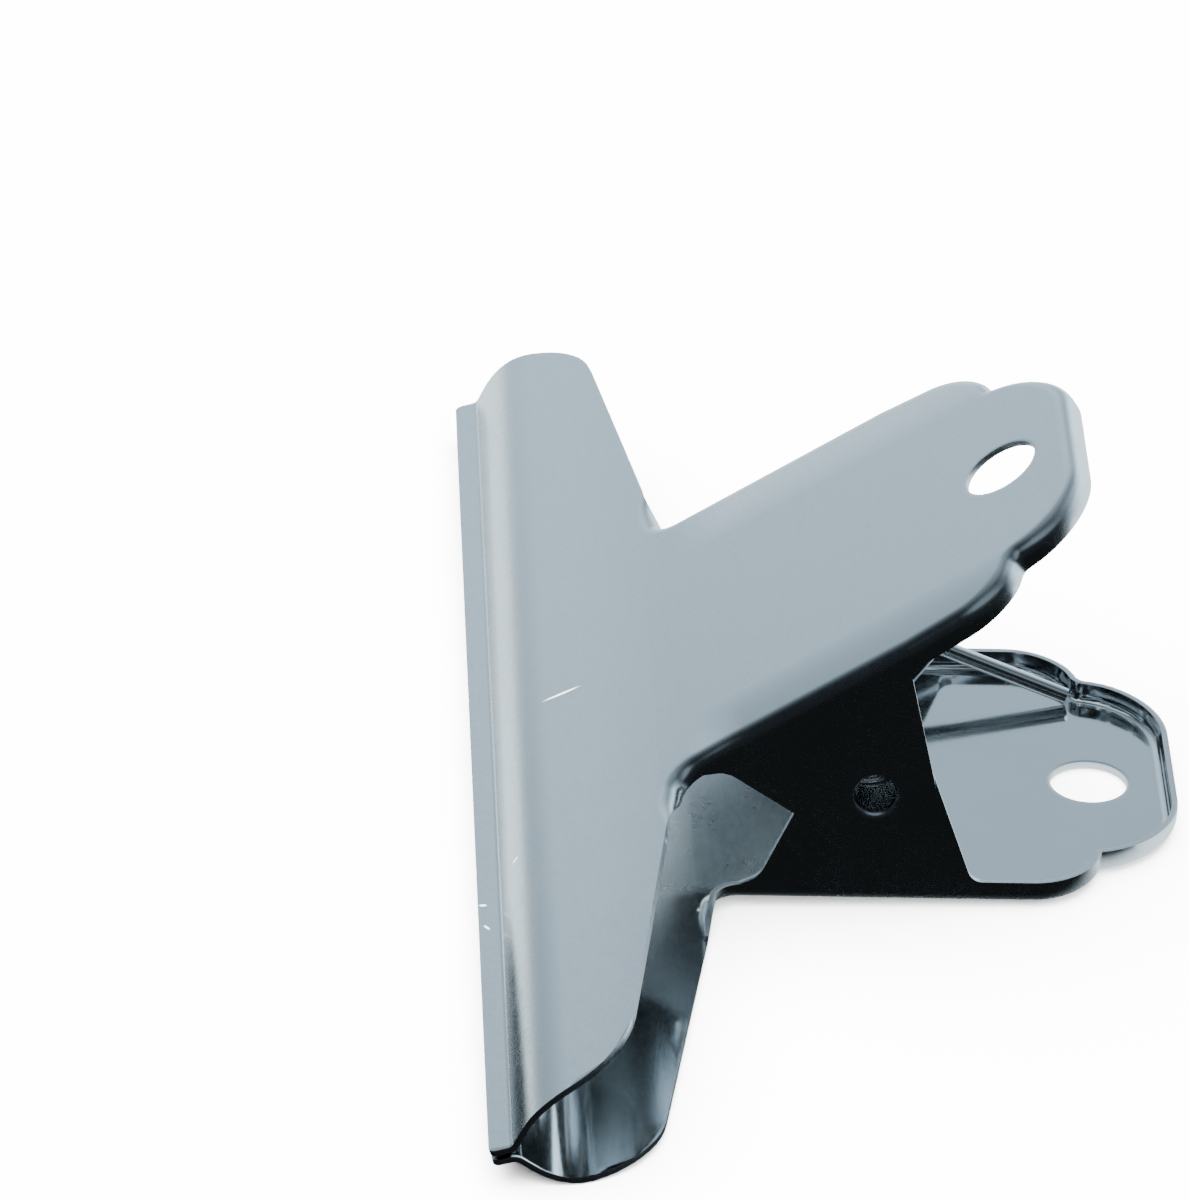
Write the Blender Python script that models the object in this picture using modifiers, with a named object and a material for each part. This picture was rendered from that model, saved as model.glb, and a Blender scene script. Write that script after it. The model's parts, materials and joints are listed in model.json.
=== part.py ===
"""Bulldog letter clip: two pressed steel leaves that hinge on drawn collars, and a torsion spring.

Frame: X runs from the jaws to the handles, Y along the hinge axis, Z up. The clip lies on its
lower leaf, Z = 0 is the surface under it, and the origin is under the middle of the clip.

Each leaf is modelled in its own frame: origin on the hinge axis, X along its plate, Z inward.
The lower leaf stands in that frame as it is, the upper one is turned over about X.
"""
import math

import bmesh
import bpy
from mathutils import Matrix, Vector

# --- sheet and hinge ---------------------------------------------------------------------
SHEET = 0.4e-3              # thickness of the pressed sheet
PLATE_ANGLE = math.radians(33.4)   # between the two plates when the jaws are shut
SIDE_GAP = 0.3e-3           # between an upper ear and the lower ear inside it
JAW_GAP = 0.3e-3            # between the two lips when the jaws are shut

# --- handle: the narrow end of a leaf, with its rolled rim ----------------------------------
HANDLE_HALF_WIDTH = 14.85e-3
HANDLE_END = 20.75e-3        # hinge axis to the end edge
LOBE_LENGTH = 14.1e-3        # hinge axis to where the two outline lobes of a side part
LOBE_RADIUS = 4.9e-3
END_CORNER_RADIUS = 6.8e-3
END_HALF_WIDTH = 9.8e-3     # of the end edge, before its corners are rounded
NOTCH_DEPTH = 3.95e-3       # of the notch between the lobes
NOTCH_WIDTH = 1.2e-3        # how far the notch leans back
NOTCH_RADIUS = 0.8e-3
SHOULDER = 5.0e-3           # behind this, the upper leaf narrows to the lower one's width
BEND_RADIUS = 1.0e-3        # outside of the bend from plate to rim
RIM_DEPTH = 1.7e-3
HANG_HOLE_RADIUS = 2.55e-3
HANG_HOLE_REACH = 15.3e-3   # hinge axis to the hanging hole

# --- ear: the deep part of the rim that carries the hinge ------------------------------------
EAR_RADIUS = 3.8e-3
EAR_FOOT_FRONT = 7.4e-3     # hinge axis to the front edge of the ear at the plate
EAR_FOOT_BACK = 6.6e-3
EAR_TOP_HALF_WIDTH = 2.75e-3
EAR_FRONT_FILLET = 2.0e-3
EAR_ROOT_DEPTH = 1.25e-3    # depth of the rim where it starts, at the root of the jaw
EAR_ROOT_SETBACK = 0.4e-3   # of that start from the corner between jaw and handle
EAR_BACK_FILLET = 1.0e-3

# --- jaw: the wide end of a leaf --------------------------------------------------------------
JAW_LENGTH = 94.0e-3
JAW_CORNER_RADIUS = 7.0e-3
JAW_BACK = 7.3e-3           # hinge axis to the back edge of the jaw, produced to Y = 0
JAW_BACK_SLOPE = 0.163      # how fast that edge runs forward toward the ends
JAW_ROOT_RADIUS = 1.6e-3    # between the back edge and the handle
JAW_WALL_CLEAR = 0.15e-3    # between the sheet's inner face and where the jaw's walls are cut off
ROLL_START = 10.0e-3        # hinge axis to where the plate starts to swell outward
SWELL_RADIUS = 45.0e-3
SWELL_ANGLE = math.radians(8.0)
SWELL_LENGTH = 2.2e-3       # straight stretch between the swell and the roll
ROLL_RADIUS = 6.0e-3
ROLL_ANGLE = math.radians(33.0)    # inward slope at the end of the roll
FACE_LENGTH = 0.9488e-3     # straight stretch from the roll down to the crease before the lip
CREASE_RADIUS = 0.6e-3
LIP_LENGTH = 1.2e-3

# --- hinge collar and spring --------------------------------------------------------------------
COLLAR_BORE_RADIUS = 1.35e-3
COLLAR_WALL = 0.35e-3
COLLAR_LENGTH = 3.2e-3      # from the outer face of the ear
COLLAR_GAP = 0.3e-3         # between a collar and the lower ear around it
COIL_GAP = 0.4e-3           # between a collar and the coil around it
WIRE_RADIUS = 0.55e-3
TURN_GAP = 0.15e-3          # between neighbouring turns
COIL_END_GAP = 0.6e-3       # least gap between the coil and a lower ear
LEG_REACH = 14.5e-3         # hinge axis to the tip of a leg, along the plate
LEG_SIDE_GAP = 0.05e-3      # sideways between a leg's tip and the line of the notch
LEG_GAP = 0.1e-3            # between a leg's tip and the plate that it presses on

# --- fineness of the round shapes ---------------------------------------------------------------
ARC_STEP = math.radians(15.0)
ROLL_STEP = math.radians(7.0)
BEND_SEGMENTS = 3
BORE_SIDES = 32
POINTS_PER_TURN = 12

# Sizes that follow from the ones above.
HALF_ANGLE = PLATE_ANGLE / 2
UPPER_HALF_WIDTH = HANDLE_HALF_WIDTH + SIDE_GAP + SHEET
COLLAR_RADIUS = COLLAR_BORE_RADIUS + COLLAR_WALL
COIL_RADIUS = COLLAR_RADIUS + COIL_GAP + WIRE_RADIUS
PITCH = 2 * WIRE_RADIUS + TURN_GAP
COIL_ROOM = 2 * (HANDLE_HALF_WIDTH - SHEET - COIL_END_GAP - WIRE_RADIUS)
TURNS = math.floor(COIL_ROOM / PITCH - 0.5)    # whole ones, the legs take the half
LEG_TIP_OFFSET = HANDLE_HALF_WIDTH - NOTCH_DEPTH - SHEET - WIRE_RADIUS - LEG_SIDE_GAP
MARGIN = 5.0e-3             # how far cutters and blanks run past what they cut


# --- outlines -------------------------------------------------------------------------------------
def rounded(corners):
    """Points of a closed outline whose corners (x, y, radius) are rounded by arcs."""
    count = len(corners)
    places = [Vector(corner[:2]) for corner in corners]
    turns = []
    reaches = []            # how far each arc reaches along its two edges
    for i, (_, _, radius) in enumerate(corners):
        before = places[i - 1] - places[i]
        after = places[(i + 1) % count] - places[i]
        turns.append(math.pi - before.angle(after))
        reaches.append(radius * math.tan(turns[i] / 2))
    for i in range(count):  # two arcs on one edge share it
        edge = (places[i] - places[i - 1]).length
        share = min(1, 0.98 * edge / max(reaches[i] + reaches[i - 1], 1e-9))
        reaches[i] *= share
        reaches[i - 1] *= share
    points = []
    for i, here in enumerate(places):
        if reaches[i] == 0 or turns[i] < math.radians(1):
            points.append(here)
            continue
        before = (places[i - 1] - here).normalized()
        after = (places[(i + 1) % count] - here).normalized()
        radius = reaches[i] / math.tan(turns[i] / 2)
        centre = here + (before + after).normalized() * radius / math.cos(turns[i] / 2)
        start = here + before * reaches[i] - centre
        steps = max(2, math.ceil(turns[i] / ARC_STEP))
        side = 1 if before.x * after.y - before.y * after.x < 0 else -1
        for k in range(steps + 1):
            points.append(centre + Matrix.Rotation(side * turns[i] * k / steps, 2) @ start)
    return points


def mirrored(half):
    """A closed outline's corners from those on its +Y side."""
    return half + [(x, -y, radius) for x, y, radius in reversed(half)]


def jaw_back(y, behind=0.0):
    """X of the jaw's back edge at a distance y from the middle."""
    return -JAW_BACK - JAW_BACK_SLOPE * y + behind


def form_outline(half_width, blank_front):
    """Outline of the pressing form: handle with lobes, and a jaw block that is too long."""
    block_y = JAW_LENGTH / 2 + MARGIN
    behind = BEND_RADIUS / 2    # the trim cuts the jaw off on the bend, before its wall
    notch_y = HANDLE_HALF_WIDTH - NOTCH_DEPTH
    return rounded(mirrored([
        (-blank_front, block_y, 0),
        (jaw_back(block_y, behind), block_y, 0),
        (jaw_back(half_width, behind), half_width, JAW_ROOT_RADIUS),
        (SHOULDER, half_width, 0),
        (LOBE_LENGTH, HANDLE_HALF_WIDTH, LOBE_RADIUS),
        (LOBE_LENGTH + NOTCH_WIDTH, notch_y, NOTCH_RADIUS),
        (HANDLE_END, END_HALF_WIDTH, END_CORNER_RADIUS)]))


def trim_outline(half_width):
    """Plan outline that the jaw is trimmed to. It runs clear of the handle."""
    clear_y = half_width + BEND_RADIUS
    return rounded(mirrored([
        (-ROLL_START - 4 * MARGIN, JAW_LENGTH / 2, 0),
        (jaw_back(JAW_LENGTH / 2), JAW_LENGTH / 2, JAW_CORNER_RADIUS),
        (jaw_back(clear_y), clear_y, 0),
        (HANDLE_END + MARGIN, clear_y, 0)]))


def rim_profile():
    """Side view, as (x, depth under the outer face), of what stays of the walls."""
    below = -MARGIN
    top = HINGE_DEPTH + EAR_RADIUS
    jaw_cut = SHEET + JAW_WALL_CLEAR
    step_x = jaw_back(UPPER_HALF_WIDTH) - EAR_ROOT_SETBACK
    return rounded([
        (-ROLL_START - 4 * MARGIN, below, 0),
        (-ROLL_START - 4 * MARGIN, MARGIN, 0),
        (step_x, MARGIN, 0),
        (step_x, jaw_cut, 0),
        (-EAR_FOOT_FRONT, EAR_ROOT_DEPTH, EAR_FRONT_FILLET),
        (-EAR_TOP_HALF_WIDTH, top, EAR_RADIUS),
        (EAR_TOP_HALF_WIDTH, top, EAR_RADIUS),
        (EAR_FOOT_BACK, RIM_DEPTH, EAR_BACK_FILLET),
        (HANDLE_END + MARGIN, RIM_DEPTH, 0),
        (HANDLE_END + MARGIN, below, 0)])


def jaw_path():
    """Outer face of the jaw in side view: (run along the sheet, x, depth) from the plate on."""
    path = [(0.0, -ROLL_START, 0.0)]
    slope = 0.0             # of the sheet, going forward, outward positive

    def step(length, direction):
        run, x, depth = path[-1]
        path.append((run + length, x - length * math.cos(direction),
                     depth - length * math.sin(direction)))

    def arc(radius, turn):
        steps = max(2, math.ceil(abs(turn) / ROLL_STEP))
        chord = 2 * radius * math.sin(abs(turn) / steps / 2)
        for k in range(steps):
            step(chord, slope + turn * (k + 0.5) / steps)
        return slope + turn

    slope = arc(SWELL_RADIUS, SWELL_ANGLE)
    step(SWELL_LENGTH, slope)
    slope = arc(ROLL_RADIUS, -SWELL_ANGLE - ROLL_ANGLE)
    step(FACE_LENGTH, slope)
    slope = arc(CREASE_RADIUS, HALF_ANGLE - slope)
    step(LIP_LENGTH, slope)
    return path


def hinge_depth():
    """Outer face of a plate to the hinge axis, such that the two lips lie face to face.

    They lie along the plane between the jaws, which runs through the hinge axis.
    """
    _, x, depth = jaw_path()[-1]
    return depth + (SHEET + JAW_GAP / 2 - x * math.sin(HALF_ANGLE)) / math.cos(HALF_ANGLE)


HINGE_DEPTH = hinge_depth()
WALL_TOP = 2 * HINGE_DEPTH  # height of the untrimmed walls over the outer face


def path_point(path, run):
    """X and depth of the jaw's outer face at a run along the sheet."""
    for (run_a, x_a, depth_a), (run_b, x_b, depth_b) in zip(path, path[1:]):
        if run <= run_b:
            share = (run - run_a) / (run_b - run_a)
            return x_a + (x_b - x_a) * share, depth_a + (depth_b - depth_a) * share
    return path[-1][1:]


# --- making objects ---------------------------------------------------------------------------------
def clear_scene():
    for item in list(bpy.data.objects):
        bpy.data.objects.remove(item, do_unlink=True)


def new_collection(name):
    collection = bpy.data.collections.new(name)
    bpy.context.scene.collection.children.link(collection)
    return collection


def metal(name, colour, roughness):
    material = bpy.data.materials.new(name)
    material.use_nodes = True
    shader = material.node_tree.nodes["Principled BSDF"]
    shader.inputs["Base Color"].default_value = (*colour, 1.0)
    shader.inputs["Metallic"].default_value = 1.0
    shader.inputs["Roughness"].default_value = roughness
    return material


def prism_mesh(name, points, low, high):
    """Closed prism over an outline, between two heights along its own Z."""
    curve = bpy.data.curves.new(name, "CURVE")
    curve.dimensions = "2D"
    curve.fill_mode = "BOTH"
    curve.extrude = (high - low) / 2
    spline = curve.splines.new("POLY")
    spline.points.add(len(points) - 1)
    for point, (x, y) in zip(spline.points, points):
        point.co = (x, y, 0, 1)
    spline.use_cyclic_u = True
    flat = bpy.data.objects.new(name, curve)
    bpy.context.scene.collection.objects.link(flat)
    depsgraph = bpy.context.evaluated_depsgraph_get()
    mesh = bpy.data.meshes.new_from_object(flat.evaluated_get(depsgraph))
    bpy.data.objects.remove(flat, do_unlink=True)
    bm = bmesh.new()
    bm.from_mesh(mesh)
    bmesh.ops.remove_doubles(bm, verts=bm.verts, dist=1e-7)
    bmesh.ops.dissolve_limit(bm, angle_limit=math.radians(0.5), verts=bm.verts, edges=bm.edges)
    bmesh.ops.translate(bm, verts=bm.verts, vec=(0, 0, (high + low) / 2))
    bmesh.ops.recalc_face_normals(bm, faces=bm.faces)
    bm.to_mesh(mesh)
    bm.free()
    return mesh


def cutter(name, mesh, leaf):
    """An object that only cuts or trims, placed in the frame of its leaf."""
    tool = bpy.data.objects.new(name, mesh)
    tool.hide_render = True
    tool.display_type = "WIRE"
    tool.parent = leaf
    cutters.objects.link(tool)
    return tool


def cylinder_mesh(name, radius, start, end, axis):
    """Cylinder between two points along X, Y or Z of the leaf's frame."""
    bm = bmesh.new()
    bmesh.ops.create_cone(bm, cap_ends=True, segments=BORE_SIDES, radius1=radius, radius2=radius,
                          depth=(end - start).length)
    turn = Vector((0, 0, 1)).rotation_difference(axis).to_matrix().to_4x4()
    bmesh.ops.transform(bm, matrix=Matrix.Translation((start + end) / 2) @ turn, verts=bm.verts)
    mesh = bpy.data.meshes.new(name)
    bm.to_mesh(mesh)
    bm.free()
    return mesh


def boolean(leaf, operation, tool):
    modifier = leaf.modifiers.new(tool.name, "BOOLEAN")
    modifier.operation = operation
    modifier.solver = "EXACT"
    modifier.object = tool


# --- the leaves ---------------------------------------------------------------------------------------
def pressed_skin(name, half_width):
    """Outer face of a leaf before trimming: plate, bends, full-height walls and jaw roll."""
    path = jaw_path()
    blank_front = ROLL_START + path[-1][0]
    mesh = prism_mesh(name, form_outline(half_width, blank_front), 0, WALL_TOP)
    bm = bmesh.new()
    bm.from_mesh(mesh)
    block_y = JAW_LENGTH / 2 + MARGIN - 1e-6

    def on_block_side(edge):
        return all(abs(v.co.y) > block_y for v in edge.verts) or all(
            v.co.x < -blank_front + 1e-6 for v in edge.verts)

    bent = [e for e in bm.edges if all(v.co.z < 1e-6 for v in e.verts) and not on_block_side(e)]
    bmesh.ops.bevel(bm, geom=bent, offset=BEND_RADIUS, offset_type="OFFSET", affect="EDGES",
                    segments=BEND_SEGMENTS, profile=0.5, material=-1, clamp_overlap=False)
    open_faces = [f for f in bm.faces if all(v.co.z > WALL_TOP - 1e-6 for v in f.verts)
                  or all(abs(v.co.y) > block_y for v in f.verts)
                  or all(v.co.x < -blank_front + 1e-6 for v in f.verts)]
    bmesh.ops.delete(bm, geom=open_faces, context="FACES")
    for run, _, _ in path[:-1]:
        bmesh.ops.bisect_plane(bm, geom=bm.verts[:] + bm.edges[:] + bm.faces[:], dist=1e-7,
                               plane_co=(-ROLL_START - run, 0, 0), plane_no=(1, 0, 0))
    for vert in bm.verts:
        run = -ROLL_START - vert.co.x
        if run > 0:
            vert.co.x, depth = path_point(path, run)
            vert.co.z += depth
    bmesh.ops.translate(bm, verts=bm.verts, vec=(0, 0, -HINGE_DEPTH))
    bm.to_mesh(mesh)
    bm.free()
    return mesh


def make_leaf(name, half_width, turn, hinge):
    """A leaf without its hinge: pressed, trimmed, and with its hanging hole."""
    leaf = bpy.data.objects.new(name, pressed_skin(name, half_width))
    leaf.location = hinge
    leaf.rotation_euler = turn
    parts.objects.link(leaf)
    shell = leaf.modifiers.new("sheet", "SOLIDIFY")
    shell.thickness = SHEET
    shell.offset = -1
    shell.use_even_offset = True
    side = prism_mesh(name + "_rim_trim", rim_profile(), -JAW_LENGTH, JAW_LENGTH)
    side.transform(Matrix.Translation((0, 0, -HINGE_DEPTH)) @ Matrix.Rotation(math.pi / 2, 4, "X"))
    boolean(leaf, "INTERSECT", cutter(name + "_rim_trim", side, leaf))
    plan = prism_mesh(name + "_jaw_trim", trim_outline(half_width), -2 * HINGE_DEPTH, HINGE_DEPTH)
    boolean(leaf, "INTERSECT", cutter(name + "_jaw_trim", plan, leaf))
    hole_at = Vector((HANG_HOLE_REACH, 0, -HINGE_DEPTH))
    reach = Vector((0, 0, MARGIN))
    hole = cylinder_mesh(name + "_hang_hole", HANG_HOLE_RADIUS, hole_at - reach, hole_at + reach,
                         Vector((0, 0, 1)))
    boolean(leaf, "DIFFERENCE", cutter(name + "_hang_hole", hole, leaf))
    return leaf


def hinge_bore(leaf, radius, half_width):
    reach = Vector((0, half_width + MARGIN, 0))
    bore = cylinder_mesh(leaf.name + "_bore", radius, -reach, reach, Vector((0, 1, 0)))
    boolean(leaf, "DIFFERENCE", cutter(leaf.name + "_bore", bore, leaf))


def hinge_collars(leaf):
    """Collars drawn inward from the upper ears, which the lower ears and the coil turn on."""
    outer = UPPER_HALF_WIDTH - SHEET / 2
    inner = UPPER_HALF_WIDTH - COLLAR_LENGTH
    for side, suffix in ((1, "far"), (-1, "near")):
        name = leaf.name + "_collar_" + suffix
        collar = cylinder_mesh(name, COLLAR_RADIUS, Vector((0, side * inner, 0)),
                               Vector((0, side * outer, 0)), Vector((0, 1, 0)))
        boolean(leaf, "UNION", cutter(name, collar, leaf))


# --- the spring -----------------------------------------------------------------------------------------
def leg_slope():
    """Angle at which a leg nears its plate, and the height of its axis over the outer face."""
    height = SHEET + LEG_GAP + WIRE_RADIUS
    drop = HINGE_DEPTH - height
    slope = math.atan2(drop, LEG_REACH) - math.asin(COIL_RADIUS / math.hypot(LEG_REACH, drop))
    return slope, height


def spring_points():
    """Centre line of the spring: lower leg, close coil, upper leg. Y falls along the coil."""
    slope, tip_height = leg_slope()
    first = -math.pi / 2 - slope
    last = PLATE_ANGLE + math.pi / 2 + slope - 2 * math.pi * (TURNS + 1)
    steps = round((first - last) / (2 * math.pi) * POINTS_PER_TURN)
    half_coil = PITCH * (first - last) / (4 * math.pi)
    lower_tip = Vector((LEG_REACH, LEG_TIP_OFFSET, tip_height - HINGE_DEPTH))
    upper_tip = Vector((LEG_REACH, -LEG_TIP_OFFSET, HINGE_DEPTH - tip_height))
    upper_tip.rotate(Matrix.Rotation(-PLATE_ANGLE, 3, "Y"))
    points = [lower_tip]
    for k in range(steps + 1):
        angle = first + (last - first) * k / steps
        y = half_coil * (1 - 2 * k / steps)
        points.append(Vector((COIL_RADIUS * math.cos(angle), y, COIL_RADIUS * math.sin(angle))))
    points.append(upper_tip)
    return points


def make_spring(turn, hinge):
    curve = bpy.data.curves.new("torsion_spring", "CURVE")
    curve.dimensions = "3D"
    curve.bevel_depth = WIRE_RADIUS
    curve.bevel_resolution = 2
    curve.use_fill_caps = True
    points = spring_points()
    spline = curve.splines.new("POLY")
    spline.points.add(len(points) - 1)
    for point, place in zip(spline.points, points):
        point.co = (*place, 1)
    spring = bpy.data.objects.new("torsion_spring", curve)
    spring.location = hinge
    spring.rotation_euler = turn
    parts.objects.link(spring)
    return spring


# --- where it lies ------------------------------------------------------------------------------
def resting_place():
    """Turns of the two leaves, and the place of the hinge, for the clip lying on its lower leaf.

    The leaf rests on the crest of its jaw roll and on the flat just before its end bend.
    """
    path = jaw_path()
    heel_x = HANDLE_END - BEND_RADIUS
    _, crest_x, crest_depth = min(path, key=lambda station: station[2])
    tilt = math.atan2(-crest_depth, heel_x - crest_x)
    feet = [(x, depth - HINGE_DEPTH) for _, x, depth in path] + [(heel_x, -HINGE_DEPTH)]
    height = -min(z * math.cos(tilt) - x * math.sin(tilt) for x, z in feet)
    # The upper lip's outer corner is foremost, the lower rim's top edge is rearmost.
    _, lip_x, lip_depth = path[-1]
    lift = PLATE_ANGLE - tilt
    front = lip_x * math.cos(lift) - (HINGE_DEPTH - lip_depth) * math.sin(lift)
    back = HANDLE_END * math.cos(tilt) + (RIM_DEPTH - HINGE_DEPTH) * math.sin(tilt)
    return (0, tilt, 0), (math.pi, -lift, 0), (-(front + back) / 2, 0, height)


# --- build ----------------------------------------------------------------------------------------------
clear_scene()
parts = new_collection("bulldog_clip")
cutters = new_collection("cutters")
nickel = metal("nickel_plated_sheet", (0.62, 0.66, 0.68), 0.22)
wire = metal("spring_wire", (0.55, 0.56, 0.57), 0.25)

lower_turn, upper_turn, hinge = resting_place()
lower_leaf = make_leaf("lower_leaf", HANDLE_HALF_WIDTH, lower_turn, hinge)
hinge_bore(lower_leaf, COLLAR_RADIUS + COLLAR_GAP, HANDLE_HALF_WIDTH)
upper_leaf = make_leaf("upper_leaf", UPPER_HALF_WIDTH, upper_turn, hinge)
hinge_collars(upper_leaf)
hinge_bore(upper_leaf, COLLAR_BORE_RADIUS, UPPER_HALF_WIDTH)
torsion_spring = make_spring(lower_turn, hinge)

for leaf in (lower_leaf, upper_leaf):
    leaf.data.materials.append(nickel)
torsion_spring.data.materials.append(wire)
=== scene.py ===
"""Looks of a bulldog letter clip: two nickel-plated sheet steel leaves and a coiled wire spring."""
import json
import math

import bmesh
import bpy
from mathutils import Euler, Matrix, Vector


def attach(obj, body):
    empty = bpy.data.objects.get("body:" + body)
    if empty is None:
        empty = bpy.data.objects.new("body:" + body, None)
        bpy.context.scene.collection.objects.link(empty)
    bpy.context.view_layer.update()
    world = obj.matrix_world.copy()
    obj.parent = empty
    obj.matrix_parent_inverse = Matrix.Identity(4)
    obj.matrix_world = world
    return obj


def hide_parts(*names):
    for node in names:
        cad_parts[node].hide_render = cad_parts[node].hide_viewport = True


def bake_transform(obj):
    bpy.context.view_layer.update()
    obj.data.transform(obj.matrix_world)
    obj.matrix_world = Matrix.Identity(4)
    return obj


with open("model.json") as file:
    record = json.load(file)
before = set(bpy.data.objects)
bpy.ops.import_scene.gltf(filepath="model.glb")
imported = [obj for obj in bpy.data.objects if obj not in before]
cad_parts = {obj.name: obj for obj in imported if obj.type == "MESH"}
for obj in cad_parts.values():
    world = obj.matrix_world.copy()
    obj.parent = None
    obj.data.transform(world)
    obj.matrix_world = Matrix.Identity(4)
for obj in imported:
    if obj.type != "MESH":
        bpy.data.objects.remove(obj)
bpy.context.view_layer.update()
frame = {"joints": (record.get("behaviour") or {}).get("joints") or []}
hinge = Vector(frame["joints"][0]["pos_m"])

# --- Upper leaf -----------------------------------------------------------------------------------
# Sheet steel 0.4 mm thick, blanked, pressed round a form in one stroke and nickel plated: a rolled
# jaw, a plate, and a rim bent up all round the handle that rises into two ears. A collar is drawn
# inward out of each ear. Modelled outer face first, from the flat blank, then given its thickness.
SHEET = 0.4e-3
HINGE_DEPTH = 8.48e-3
REST_TILT = math.radians(1.17989)
PLATE_ANGLE = math.radians(33.4)
HANDLE_HALF_WIDTH = 14.85e-3
UPPER_HALF_WIDTH = 15.55e-3
JAW_HALF_LENGTH = 47.0e-3
JAW_BACK = 7.3e-3
JAW_BACK_SLOPE = 0.163
ROOT_RADIUS = 1.6e-3
BEND_RADIUS = 1.0e-3
BEND_STEPS = 7
PLATE_MARGIN = 0.2e-3       # flat strip between the plate's fill and the bend
HOLE_MARGIN = 0.3e-3        # flat ring round a hole, inside the fill
FADE_LENGTH = 5.0e-3        # along the jaw's back edge, where the bend runs out
FADE_STEPS = 8
FADE_START = 1.45e-3        # from the handle's side to where the bend starts to run out
RIM_DEPTH = 1.7e-3
EAR_ROOT_DEPTH = 1.25e-3
EDGE_ROUND = 0.05e-3
EAR_RADIUS = 3.8e-3         # of the ear's corners, and from the hinge axis to its end
EAR_HALF_WIDTH = 2.75e-3    # at its end, between the corners
EAR_FRONT = 7.4e-3          # foot of the ear, ahead of the hinge axis
EAR_BACK = 6.6e-3           # foot of the ear, behind it
EAR_STEPS = 48              # sides of the round holes in the ears
JAW_CORNER = 7.0e-3
LIP_CORNER = 0.5e-3
SHOULDER_X = 14.1e-3        # where the handle's straight side ends in its first lobe
SHOULDER_RADIUS = 4.6e-3
NOTCH_X = 15.3e-3
NOTCH_DEPTH = 3.95e-3
NOTCH_RADIUS = 0.8e-3
HANDLE_END = 20.75e-3
END_HALF_WIDTH = 9.8e-3
END_RADIUS = 6.8e-3
HANGING_HOLE_X = 15.3e-3
HANGING_HOLE_RADIUS = 2.55e-3
HANGING_HOLE_STEPS = 64
COLLAR_BORE = 1.35e-3
COLLAR_MOUTH = 0.45e-3      # radius of the rounding where the ear turns into the collar
COLLAR_LENGTH = 3.2e-3      # from the outer face of the ear
COLLAR_STEPS = 6
SWELL_START = 10.0e-3       # ahead of the hinge axis, where the plate starts to swell outward
SWELL_RADIUS = 45.0e-3
SWELL_TURN = math.radians(8)
SWELL_LENGTH = 2.2e-3       # straight stretch between the swell and the roll
ROLL_RADIUS = 6.0e-3
ROLL_TURN = math.radians(41)
CREASE_RADIUS = 0.6e-3
LIP_LENGTH = 1.2e-3
LIP_GAP = 0.15e-3           # from a lip's inner face to the plane where the two would meet
SIDE_SPAN = (-7.6e-3, 8.0e-3)   # along x, where the handle's side has the ear's stations
EAR_SPAN = (-7.5e-3, 6.9e-3)    # along x, the walls that are filled again as an ear
WELD = 2e-6                 # vertices nearer than this are one
TOUCH = 1e-7                # distances below this are none


def rounded_outline(corners):
    """A face over corners (x, y, radius), each rounded by a bevel of its vertex."""
    bm = bmesh.new()
    ring = [bm.verts.new((x, y, 0)) for x, y, _ in corners]
    bm.faces.new(ring)
    for i, (vert, (_, _, radius)) in enumerate(zip(ring, corners)):
        if radius:
            here = Vector(corners[i][:2])
            turn = (Vector(corners[i - 1][:2]) - here).angle(
                here - Vector(corners[(i + 1) % len(corners)][:2]))
            bmesh.ops.bevel(bm, geom=[vert], offset=radius * math.tan(turn / 2),
                            offset_type="OFFSET", affect="VERTICES", profile=0.5, material=-1,
                            segments=max(4, round(math.degrees(turn) / 6)), clamp_overlap=False)
    return bm


def ear_profile():
    """Stations (x, depth) of the rim's edge along a side of the handle, ear included."""
    top = HINGE_DEPTH + EAR_RADIUS
    far, under = 20e-3, -5e-3       # well past the ear, to close the outline
    bm = rounded_outline([
        (-far, under, 0), (-far, EAR_ROOT_DEPTH, 0), (-EAR_FRONT, EAR_ROOT_DEPTH, 2.0e-3),
        (-EAR_HALF_WIDTH, top, EAR_RADIUS), (EAR_HALF_WIDTH, top, EAR_RADIUS),
        (EAR_BACK, RIM_DEPTH, 1.0e-3), (far, RIM_DEPTH, 0), (far, under, 0)])
    stations = sorted((v.co.x, v.co.y) for v in bm.verts if v.co.y > 0)
    bm.free()
    return stations


def rim_depth(x, stations):
    """Depth of the rim's edge at x, between two of the ear's stations."""
    for (x_a, depth_a), (x_b, depth_b) in zip(stations, stations[1:]):
        if x <= x_b:
            return depth_a + (depth_b - depth_a) * (x - x_a) / (x_b - x_a)
    return stations[-1][1]


def jaw_path():
    """Outer face of the jaw in side view, (x, depth) from the plate forward to the lip's edge."""
    path = [(-SWELL_START, 0.0)]

    def step(length, slope):
        x, depth = path[-1]
        path.append((x - length * math.cos(slope), depth - length * math.sin(slope)))

    def arc(radius, slope, turn, steps):
        for k in range(steps):
            step(2 * radius * math.sin(abs(turn) / steps / 2), slope + turn * (k + 0.5) / steps)
        return slope + turn

    half_angle = PLATE_ANGLE / 2
    slope = arc(SWELL_RADIUS, 0.0, SWELL_TURN, 6)
    step(SWELL_LENGTH, slope)
    slope = arc(ROLL_RADIUS, slope, -ROLL_TURN, 16)
    turn = half_angle - slope
    x, depth = path[-1]
    height = (HINGE_DEPTH - depth) * math.cos(half_angle) + x * math.sin(half_angle)
    drop = CREASE_RADIUS * (1 - math.cos(turn)) + SHEET + LIP_GAP
    step((height - drop) / math.sin(turn), slope)
    slope = arc(CREASE_RADIUS, slope, turn, 8)
    step(LIP_LENGTH, slope)
    return path


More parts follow.
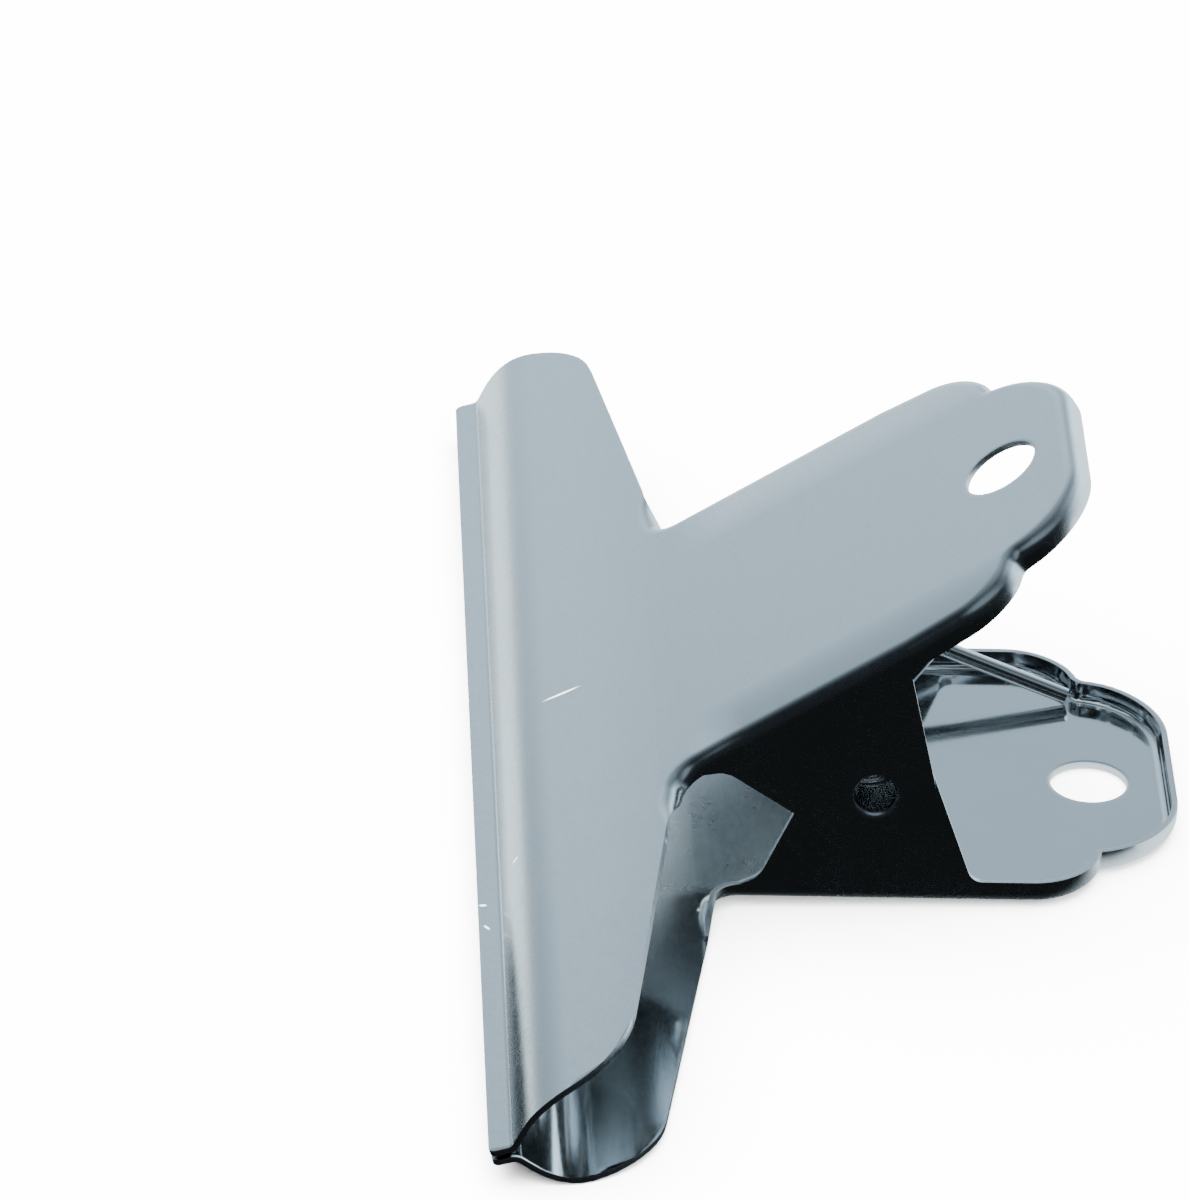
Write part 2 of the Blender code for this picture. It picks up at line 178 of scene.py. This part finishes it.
def jaw_depth(x, path):
    """Depth of the jaw's outer face at x, ahead of the plate."""
    for (x_a, depth_a), (x_b, depth_b) in zip(path, path[1:]):
        if x >= x_b:
            return depth_a + (depth_b - depth_a) * (x - x_a) / (x_b - x_a)
    return path[-1][1]


def bend_rim(bm, half_width, stations):
    """Turns the blank's edge up round the handle, in a bend that runs out along the jaw."""
    loops = list(bm.faces[:][0].loops)
    places = [loop.vert.co.copy() for loop in loops]
    rim = {}
    for i, loop in enumerate(loops):
        before = (places[i] - places[i - 1]).normalized()
        after = (places[(i + 1) % len(places)] - places[i]).normalized()
        out = Vector((before.y + after.y, -before.x - after.x, 0)).normalized()
        out /= max(0.5, out.dot(Vector((before.y, -before.x, 0))))
        away = min(1, max(0, (abs(places[i].y) - half_width - ROOT_RADIUS) / FADE_LENGTH))
        angle = math.pi / 2 * (1 - away * away * (3 - 2 * away))
        rim[loop.vert] = (places[i] - out * BEND_RADIUS * math.sin(angle), out, angle)
    for vert, (foot, out, angle) in rim.items():
        vert.co = foot - out * PLATE_MARGIN * math.sin(angle)
    edges = [e for e in bm.edges if any(rim[v][2] > 0 for v in e.verts)]
    for k in range(BEND_STEPS + 2):
        grown = bmesh.ops.extrude_edge_only(bm, edges=edges)["geom"]
        fresh = {g for g in grown if isinstance(g, bmesh.types.BMVert)}
        for vert in fresh:
            source = next(e.other_vert(vert) for e in vert.link_edges
                          if e.other_vert(vert) not in fresh)
            foot, out, angle = rim[vert] = rim[source]
            share = angle * min(k, BEND_STEPS) / BEND_STEPS
            vert.co = foot + BEND_RADIUS * Vector((out.x * math.sin(share), out.y * math.sin(share),
                                                   1 - math.cos(share)))
            if k > BEND_STEPS:
                rise = rim_depth(foot.x, stations) - BEND_RADIUS
                vert.co.z += rise * (angle / (math.pi / 2)) ** 4
        edges = [g for g in grown if isinstance(g, bmesh.types.BMEdge)
                 and all(v in fresh for v in g.verts)]
        walls = [g for g in grown if isinstance(g, bmesh.types.BMFace)]
    return walls


def refill_with_hole(bm, faces, circle_matrix, radius, segments):
    """Replaces flat faces by a fill of the same outline round a circle, and gives its edges."""
    edges = list(dict.fromkeys(e for f in faces for e in f.edges))
    inside = [e for e in edges if len(e.link_faces) == 2 and all(f in faces for f in e.link_faces)]
    outline = [e for e in edges if e not in inside]
    bmesh.ops.delete(bm, geom=faces, context="FACES_ONLY")
    bmesh.ops.delete(bm, geom=inside, context="EDGES")
    circle = bmesh.ops.create_circle(bm, segments=segments, radius=radius + HOLE_MARGIN,
                                     matrix=circle_matrix)
    ring = list(dict.fromkeys(e for v in circle["verts"] for e in v.link_edges))
    bmesh.ops.triangle_fill(bm, edges=outline + ring, use_beauty=True)
    grown = bmesh.ops.extrude_edge_only(bm, edges=ring)["geom"]
    fresh = {g for g in grown if isinstance(g, bmesh.types.BMVert)}
    centre = circle_matrix.translation
    for vert in fresh:
        vert.co = centre + (vert.co - centre) * radius / (radius + HOLE_MARGIN)
    return [g for g in grown if isinstance(g, bmesh.types.BMEdge)
            and all(v in fresh for v in g.verts)]


def draw_collar(bm, edges, side, half_width):
    """Turns a hole's edge inward in a round mouth and on into a straight collar."""
    for k in range(1, COLLAR_STEPS + 2):
        grown = bmesh.ops.extrude_edge_only(bm, edges=edges)["geom"]
        angle = math.pi / 2 * min(k, COLLAR_STEPS) / COLLAR_STEPS
        radius = COLLAR_BORE + COLLAR_MOUTH * (1 - math.sin(angle))
        inward = COLLAR_MOUTH * (1 - math.cos(angle)) if k <= COLLAR_STEPS else COLLAR_LENGTH
        for vert in (g for g in grown if isinstance(g, bmesh.types.BMVert)):
            spoke = Vector((vert.co.x, vert.co.z - HINGE_DEPTH)).normalized() * radius
            vert.co = (spoke.x, side * (half_width - inward), HINGE_DEPTH + spoke.y)
        edges = [g for g in grown if isinstance(g, bmesh.types.BMEdge)
                 and abs(g.verts[0].co.y - g.verts[1].co.y) < TOUCH]


def in_order(bm):
    """Puts edges and faces in an order that follows from the vertices', alike in every run."""
    count = len(bm.verts)
    bm.verts.index_update()
    for parts in (bm.edges, bm.faces):
        keys = {}
        for part in parts:
            first = sorted(v.index for v in part.verts)[:3]
            keys[part] = sum(index * count ** (3 - k) for k, index in enumerate(first))
        parts.sort(key=keys.get)
        parts.index_update()


def press_leaf(name, half_width, hole_radius, collar, place):
    """A whole leaf, in its place: blank, rim, holes, roll, thickness and finish."""
    stations = ear_profile()
    path = jaw_path()

    def back(y):
        return -JAW_BACK - JAW_BACK_SLOPE * y

    side = [(x, half_width, 0) for x, _ in stations if SIDE_SPAN[0] < x < SIDE_SPAN[1]]
    fade = [(back(y), y, 0) for y in
            (half_width + FADE_START + FADE_LENGTH * k / FADE_STEPS
             for k in range(FADE_STEPS, -1, -1))]
    half = [(path[-1][0], JAW_HALF_LENGTH, LIP_CORNER),
            (back(JAW_HALF_LENGTH), JAW_HALF_LENGTH, JAW_CORNER),
            *fade, (back(half_width), half_width, ROOT_RADIUS), *side,
            (SHOULDER_X, HANDLE_HALF_WIDTH, SHOULDER_RADIUS),
            (NOTCH_X, HANDLE_HALF_WIDTH - NOTCH_DEPTH, NOTCH_RADIUS),
            (HANDLE_END, END_HALF_WIDTH, END_RADIUS)]
    bm = rounded_outline(half + [(x, -y, radius) for x, y, radius in reversed(half)])
    bmesh.ops.recalc_face_normals(bm, faces=bm.faces)
    if bm.faces[:][0].normal.z < 0:
        bmesh.ops.reverse_faces(bm, faces=bm.faces)
    walls = bend_rim(bm, half_width, stations)
    in_order(bm)
    walls.sort(key=lambda f: f.index)

    ears = [(sign, [f for f in walls if all(
        EAR_SPAN[0] < v.co.x < EAR_SPAN[1] and v.co.y * sign > 0 for v in f.verts)])
        for sign in (1, -1)]
    upright = Matrix.Rotation(math.pi / 2, 4, "X")
    for sign, ear in ears:
        circle = Matrix.Translation((0, sign * half_width, HINGE_DEPTH)) @ upright
        edges = refill_with_hole(bm, ear, circle, hole_radius, EAR_STEPS)
        if collar:
            draw_collar(bm, edges, sign, half_width)
    in_order(bm)
    plate = max(bm.faces, key=lambda f: f.calc_area())
    refill_with_hole(bm, [plate], Matrix.Translation((HANGING_HOLE_X, 0, 0)),
                     HANGING_HOLE_RADIUS, HANGING_HOLE_STEPS)

    for x, _ in path[:-1]:
        in_order(bm)
        bmesh.ops.bisect_plane(bm, geom=bm.verts[:] + bm.edges[:] + bm.faces[:], dist=TOUCH,
                               plane_co=(x, 0, 0), plane_no=(1, 0, 0))
    for vert in bm.verts:
        if vert.co.x < -SWELL_START:
            vert.co.z += jaw_depth(vert.co.x, path)
    bmesh.ops.remove_doubles(bm, verts=bm.verts, dist=WELD)
    bmesh.ops.dissolve_degenerate(bm, dist=WELD / 2, edges=bm.edges)
    bmesh.ops.recalc_face_normals(bm, faces=bm.faces)
    if max(bm.faces, key=lambda f: f.calc_area()).normal.z > 0:
        bmesh.ops.reverse_faces(bm, faces=bm.faces)
    bmesh.ops.translate(bm, verts=bm.verts, vec=(0, 0, -HINGE_DEPTH))
    bmesh.ops.transform(bm, verts=bm.verts, matrix=place)
    in_order(bm)
    mesh = bpy.data.meshes.new(name)
    mesh.from_pydata([v.co for v in bm.verts], [], [[v.index for v in f.verts] for f in bm.faces])
    bm.free()
    leaf = bpy.data.objects.new(name, mesh)
    bpy.context.scene.collection.objects.link(leaf)
    shell = leaf.modifiers.new("sheet", "SOLIDIFY")
    shell.thickness = SHEET
    shell.offset = -1
    shell.use_even_offset = True
    shell.material_offset = 1
    shell.material_offset_rim = 2
    edge = leaf.modifiers.new("edges", "BEVEL")
    edge.width = EDGE_ROUND
    edge.segments = 2
    edge.limit_method = "ANGLE"
    edge.angle_limit = math.radians(50)
    edge.use_clamp_overlap = True
    normals = leaf.modifiers.new("normals", "WEIGHTED_NORMAL")
    normals.weight = 80
    for face in mesh.polygons:
        face.use_smooth = True
    return leaf


class Val:
    """A shader socket that plain arithmetic works on."""

    def __init__(self, tree, socket):
        self.tree, self.socket = tree, socket

    def _math(self, operation, *values):
        return node(self.tree, "ShaderNodeMath", {"operation": operation}, dict(enumerate(values)))

    def __add__(self, other): return self._math("ADD", self, other)
    def __radd__(self, other): return self._math("ADD", other, self)
    def __sub__(self, other): return self._math("SUBTRACT", self, other)
    def __rsub__(self, other): return self._math("SUBTRACT", other, self)
    def __mul__(self, other): return self._math("MULTIPLY", self, other)


def node(tree, kind, settings=None, inputs=None, output=0):
    """Adds a node, sets it, then sets or links its inputs, and gives one output as a Val."""
    made = tree.nodes.new(kind)
    for key, value in (settings or {}).items():
        setattr(made, key, value)
    for key, value in (inputs or {}).items():
        if isinstance(value, Val):
            tree.links.new(value.socket, made.inputs[key])
        else:
            made.inputs[key].default_value = value
    return Val(tree, made.outputs[output])


def new_metal(name):
    """A material with a bare metallic shader: its tree, its shader and its object coordinates."""
    material = bpy.data.materials.new(name)
    material.use_nodes = True
    tree = material.node_tree
    shader = tree.nodes["Principled BSDF"]
    shader.inputs["Metallic"].default_value = 1.0
    return material, tree, shader, node(tree, "ShaderNodeTexCoord", output=3)


def drive(tree, shader, socket, value):
    tree.links.new(value.socket, shader.inputs[socket])


def ramp(tree, value, low, high, at_low, at_high):
    """Smooth step of a value from one level to another."""
    return node(tree, "ShaderNodeMapRange", {"interpolation_type": "SMOOTHSTEP"}, {
        "Value": value, "From Min": low, "From Max": high, "To Min": at_low, "To Max": at_high})


def streak(tree, place, start, end, width):
    """1 along the middle of a fine mark in the surface from start to end, 0 beyond its edge."""
    run = Vector(end) - Vector(start)
    along = node(tree, "ShaderNodeMapping", {"vector_type": "TEXTURE"}, {
        "Vector": place, "Location": (Vector(start) + Vector(end)) / 2,
        "Rotation": run.to_track_quat("X", "Z").to_euler(),
        "Scale": (run.length / 2, width / 2, 0.5e-3)})
    reach = node(tree, "ShaderNodeVectorMath", {"operation": "LENGTH"}, {0: along}, output="Value")
    return ramp(tree, reach, 0.5, 1.0, 1.0, 0.0)


def nickel(name, colour, sheen, dull, crown, bow, streaks):
    """Nickel plate, dull between the jaws and the ears and with its full sheen elsewhere.

    It shades as if the plate fell by crown toward its bends, and by bow times the square of y.
    """
    material, tree, shader, place = new_metal(name)
    grain = node(tree, "ShaderNodeMapping", None, {"Vector": place, "Scale": (900, 120, 900)})
    fine = node(tree, "ShaderNodeTexNoise", None, {"Vector": grain, "Scale": 3.0, "Detail": 3.0})
    cloud = node(tree, "ShaderNodeTexNoise", None, {"Vector": place, "Scale": 160.0, "Detail": 4.0})
    speck = node(tree, "ShaderNodeTexNoise", None,
                 {"Vector": place, "Scale": 2200.0, "Detail": 2.0})
    split = tree.nodes.new("ShaderNodeSeparateXYZ")
    tree.links.new(place.socket, split.inputs[0])
    along = Val(tree, split.outputs[0])
    across = node(tree, "ShaderNodeMath", {"operation": "ABSOLUTE"},
                  {0: Val(tree, split.outputs[1])})
    middle = ramp(tree, across, 0.0135, 0.0155, 1.0, 0.0)
    worn = sheen + ramp(tree, along, -0.003, 0.006, dull - sheen, 0.0) * middle
    drive(tree, shader, "Roughness",
          worn * (1 + (cloud - 0.5) * 0.5 + (fine - 0.5) * 0.2 + (speck - 0.5) * 0.5))
    tint = node(tree, "ShaderNodeMix", {"data_type": "RGBA"}, {
        0: 0.35 + (cloud - 0.5) * 0.8, 6: (*(c * 0.96 for c in colour), 1),
        7: (*(c * 1.06 for c in colour), 1)}, output=2)
    if streaks:
        marked = sum(streak(tree, place, *ends) for ends in streaks)
        tint = node(tree, "ShaderNodeMix", {"data_type": "RGBA"},
                    {0: marked, 6: tint, 7: (0.90, 0.92, 0.90, 1)}, output=2)
        drive(tree, shader, "Metallic", 1.0 - marked * 0.3)
    drive(tree, shader, "Base Color", tint)
    bowed = (ramp(tree, across, 0.0100, 0.0195, 0.0, -crown)
             * ramp(tree, along, -0.0095, -0.006, 0.0, 1.0) - across * across * bow)
    drive(tree, shader, "Normal", node(tree, "ShaderNodeBump", None, {
        "Height": bowed + fine * 1.5e-6 + cloud * 4e-6, "Strength": 1.0, "Distance": 1.0}))
    return material


scuffs = [((-18.6e-3, -0.05e-3, 6.6e-3), (-15.8e-3, 0.15e-3, 7.9e-3), 0.3e-3),
          ((-20.9e-3, -16.6e-3, 4.5e-3), (-20.3e-3, -16.4e-3, 4.95e-3), 0.25e-3),
          ((-23.0e-3, -18.2e-3, 2.4e-3), (-22.4e-3, -18.5e-3, 2.6e-3), 0.3e-3),
          ((-22.7e-3, -20.7e-3, 2.5e-3), (-22.3e-3, -21.5e-3, 2.6e-3), 0.2e-3)]
# name, colour, roughness, roughness of the dull patch, crown, bow, marks
finish = [nickel("nickel_outside", (0.66, 0.69, 0.71), 0.26, 0.26, 0.8e-3, 0.5, scuffs),
          nickel("nickel_inside", (0.66, 0.69, 0.71), 0.10, 0.32, 0.0, 0.0, []),
          nickel("nickel_cut_edge", (0.70, 0.72, 0.73), 0.42, 0.42, 0.0, 0.0, [])]

upper_turn = Euler((math.pi, REST_TILT - PLATE_ANGLE, 0)).to_matrix().to_4x4()
upper = press_leaf("upper_pressing", UPPER_HALF_WIDTH, COLLAR_BORE + COLLAR_MOUTH, True,
                   Matrix.Translation(hinge) @ upper_turn)
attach(upper, "upper_leaf")
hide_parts("upper_leaf")

# --- Lower leaf -----------------------------------------------------------------------------------
# The same pressing, narrower over the ears by a sheet and some play on each side, with plain
# punched holes that turn on the upper leaf's collars. The clip lies on its crest and end bend.
LOWER_HOLE_RADIUS = 2.0e-3
lower_place = Matrix.Translation(hinge) @ Euler((0, REST_TILT, 0)).to_matrix().to_4x4()
lower = press_leaf("lower_pressing", HANDLE_HALF_WIDTH, LOWER_HOLE_RADIUS, False, lower_place)
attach(lower, "lower_leaf")
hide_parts("lower_leaf")
for leaf in (upper, lower):
    for material in finish:
        leaf.data.materials.append(material)

# --- Torsion spring -------------------------------------------------------------------------------
# Bright drawn spring wire, 1.1 mm thick, close wound on a mandrel into about 20 turns that lie
# loosely round the two collars. Its ends run straight back under the handles and press on them.
WIRE_RADIUS = 0.55e-3
COIL_RADIUS = 2.65e-3
TURNS = 20
TURN_GAP = 0.15e-3
POINTS_PER_TURN = 36
LEG_REACH = 14.5e-3
LEG_TIP_OFFSET = 9.9e-3
LEG_GAP = 0.1e-3            # between a leg's tip and the plate under it
tip_drop = HINGE_DEPTH - (SHEET + LEG_GAP + WIRE_RADIUS)
leg_slope = (math.atan2(tip_drop, LEG_REACH)
             - math.asin(COIL_RADIUS / math.hypot(LEG_REACH, tip_drop)))
first = -math.pi / 2 - leg_slope
last = PLATE_ANGLE + math.pi / 2 + leg_slope - 2 * math.pi * (TURNS + 1)
half_coil = (2 * WIRE_RADIUS + TURN_GAP) * (first - last) / (4 * math.pi)
steps = round((first - last) / (2 * math.pi) * POINTS_PER_TURN)
lower_tip = Vector((LEG_REACH, LEG_TIP_OFFSET, -tip_drop))
upper_tip = Vector((LEG_REACH, -LEG_TIP_OFFSET, tip_drop))
upper_tip.rotate(Matrix.Rotation(-PLATE_ANGLE, 3, "Y"))
wire_path = [lower_tip]
for k in range(steps + 1):
    angle = first + (last - first) * k / steps
    wire_path.append(Vector((COIL_RADIUS * math.cos(angle), half_coil * (1 - 2 * k / steps),
                             COIL_RADIUS * math.sin(angle))))
wire_path.append(upper_tip)
curve = bpy.data.curves.new("wire", "CURVE")
curve.dimensions = "3D"
curve.bevel_depth = WIRE_RADIUS
curve.bevel_resolution = 4
curve.use_fill_caps = True
spline = curve.splines.new("POLY")
spline.points.add(len(wire_path) - 1)
for point, spot in zip(spline.points, wire_path):
    point.co = (*(lower_place @ spot), 1)
wire = bpy.data.objects.new("wire", curve)
bpy.context.scene.collection.objects.link(wire)
swept = wire.evaluated_get(bpy.context.evaluated_depsgraph_get())
coil_mesh = bpy.data.meshes.new_from_object(swept)
bpy.data.objects.remove(wire)
spring = bpy.data.objects.new("coil_spring", coil_mesh)
bpy.context.scene.collection.objects.link(spring)
for face in coil_mesh.polygons:
    face.use_smooth = True

wire_finish, tree, shader, place = new_metal("bright_wire")
drawn = node(tree, "ShaderNodeTexNoise", None, {"Vector": place, "Scale": 900.0, "Detail": 2.0})
drive(tree, shader, "Roughness", 0.14 + drawn * 0.10)
shader.inputs["Base Color"].default_value = (0.60, 0.61, 0.62, 1)
drive(tree, shader, "Normal", node(tree, "ShaderNodeBump", None, {
    "Height": drawn, "Strength": 0.04, "Distance": 0.0001}))
coil_mesh.materials.clear()
coil_mesh.materials.append(wire_finish)
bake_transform(spring)
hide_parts("torsion_spring")

# --- Table top, light and camera ------------------------------------------------------------------
# A pale plain table under soft lamps that the metal doesn't mirror. What it mirrors is set apart:
# a bright room behind, a weaker patch high in front, and a table that is dark in front of the clip.
floor_bm = bmesh.new()
bmesh.ops.create_grid(floor_bm, x_segments=1, y_segments=1, size=3.0,
                      matrix=Matrix.Translation((0, 0, -0.0001)))
floor_mesh = bpy.data.meshes.new("table_top")
floor_bm.to_mesh(floor_mesh)
floor_bm.free()
floor = bpy.data.objects.new("table_top", floor_mesh)
bpy.context.scene.collection.objects.link(floor)
pale = bpy.data.materials.new("table_top")
pale.use_nodes = True
tree = pale.node_tree
pale_shader = tree.nodes["Principled BSDF"]
pale_shader.inputs["Base Color"].default_value = (0.9, 0.9, 0.9, 1)
pale_shader.inputs["Roughness"].default_value = 0.9
pale_shader.inputs["Specular IOR Level"].default_value = 0.1
place = node(tree, "ShaderNodeTexCoord", output="Object")
split = tree.nodes.new("ShaderNodeSeparateXYZ")
tree.links.new(place.socket, split.inputs[0])
lit = ramp(tree, Val(tree, split.outputs[1]), -0.0155, -0.008, 0.012, 2.1)
seen_in_metal = node(tree, "ShaderNodeEmission", None,
                     {"Color": (0.80, 0.95, 1.0, 1), "Strength": lit})
mirrored = node(tree, "ShaderNodeLightPath", output="Is Glossy Ray")
mixed = node(tree, "ShaderNodeMixShader", None, {
    0: mirrored, 1: Val(tree, pale_shader.outputs[0]), 2: seen_in_metal})
tree.links.new(mixed.socket, tree.nodes["Material Output"].inputs["Surface"])
floor_mesh.materials.append(pale)

world = bpy.data.worlds.new("room")
bpy.context.scene.world = world
world.use_nodes = True
tree = world.node_tree
ray = node(tree, "ShaderNodeTexCoord", output="Generated")
split = tree.nodes.new("ShaderNodeSeparateXYZ")
tree.links.new(ray.socket, split.inputs[0])
ray_x, ray_y, ray_z = (Val(tree, axis) for axis in split.outputs)
behind = ramp(tree, ray_y, -0.3, 0.6, 0.0, 1.0)
level = ramp(tree, ray_z, 0.42, 0.8, 1.0, 0.35)
to_right = (ramp(tree, ray_x, -0.75, -0.28, 0.3, 1.2) * ramp(tree, ray_x, -0.15, 0.05, 1.0, 0.72)
            * ramp(tree, ray_x, 0.12, 0.45, 1.0, 2.6))
above_front = (ramp(tree, ray_z, 0.60, 0.74, 0.0, 0.35) * ramp(tree, ray_x, -0.5, -0.15, 0.0, 1.0)
               * ramp(tree, ray_y, -0.5, 0.0, 1.0, 0.0))
brightness = 0.02 + behind * level * to_right + above_front
backdrop = next(n for n in tree.nodes if n.type == "BACKGROUND")
backdrop.inputs["Color"].default_value = (0.74, 0.95, 1.11, 1)
tree.links.new(brightness.socket, backdrop.inputs["Strength"])

for name, spot, width, energy in (("overhead", (-0.1, 0.1, 0.8), 1.2, 160.0),
                                  ("front_fill", (0.3, -0.8, 0.7), 1.0, 60.0)):
    lamp = bpy.data.lights.new(name, "AREA")
    lamp.size = width
    lamp.energy = energy
    lamp_object = bpy.data.objects.new(name, lamp)
    lamp_object.location = spot
    lamp_object.rotation_euler = (-Vector(spot)).to_track_quat("-Z", "Y").to_euler()
    lamp_object.visible_glossy = False
    bpy.context.scene.collection.objects.link(lamp_object)

camera = bpy.data.cameras.new("camera")
camera.lens = 318.759
camera.sensor_width = 36
camera.shift_x = -0.0022063
camera.shift_y = 0.0157927
camera.clip_start = 0.01
camera_object = bpy.data.objects.new("camera", camera)
camera_object.location = (-0.0410263, -0.5949098, 0.3615604)
camera_object.rotation_euler = [math.radians(a) for a in (59.6481, -1.0332, -1.9038)]
bpy.context.scene.collection.objects.link(camera_object)
bpy.context.scene.camera = camera_object
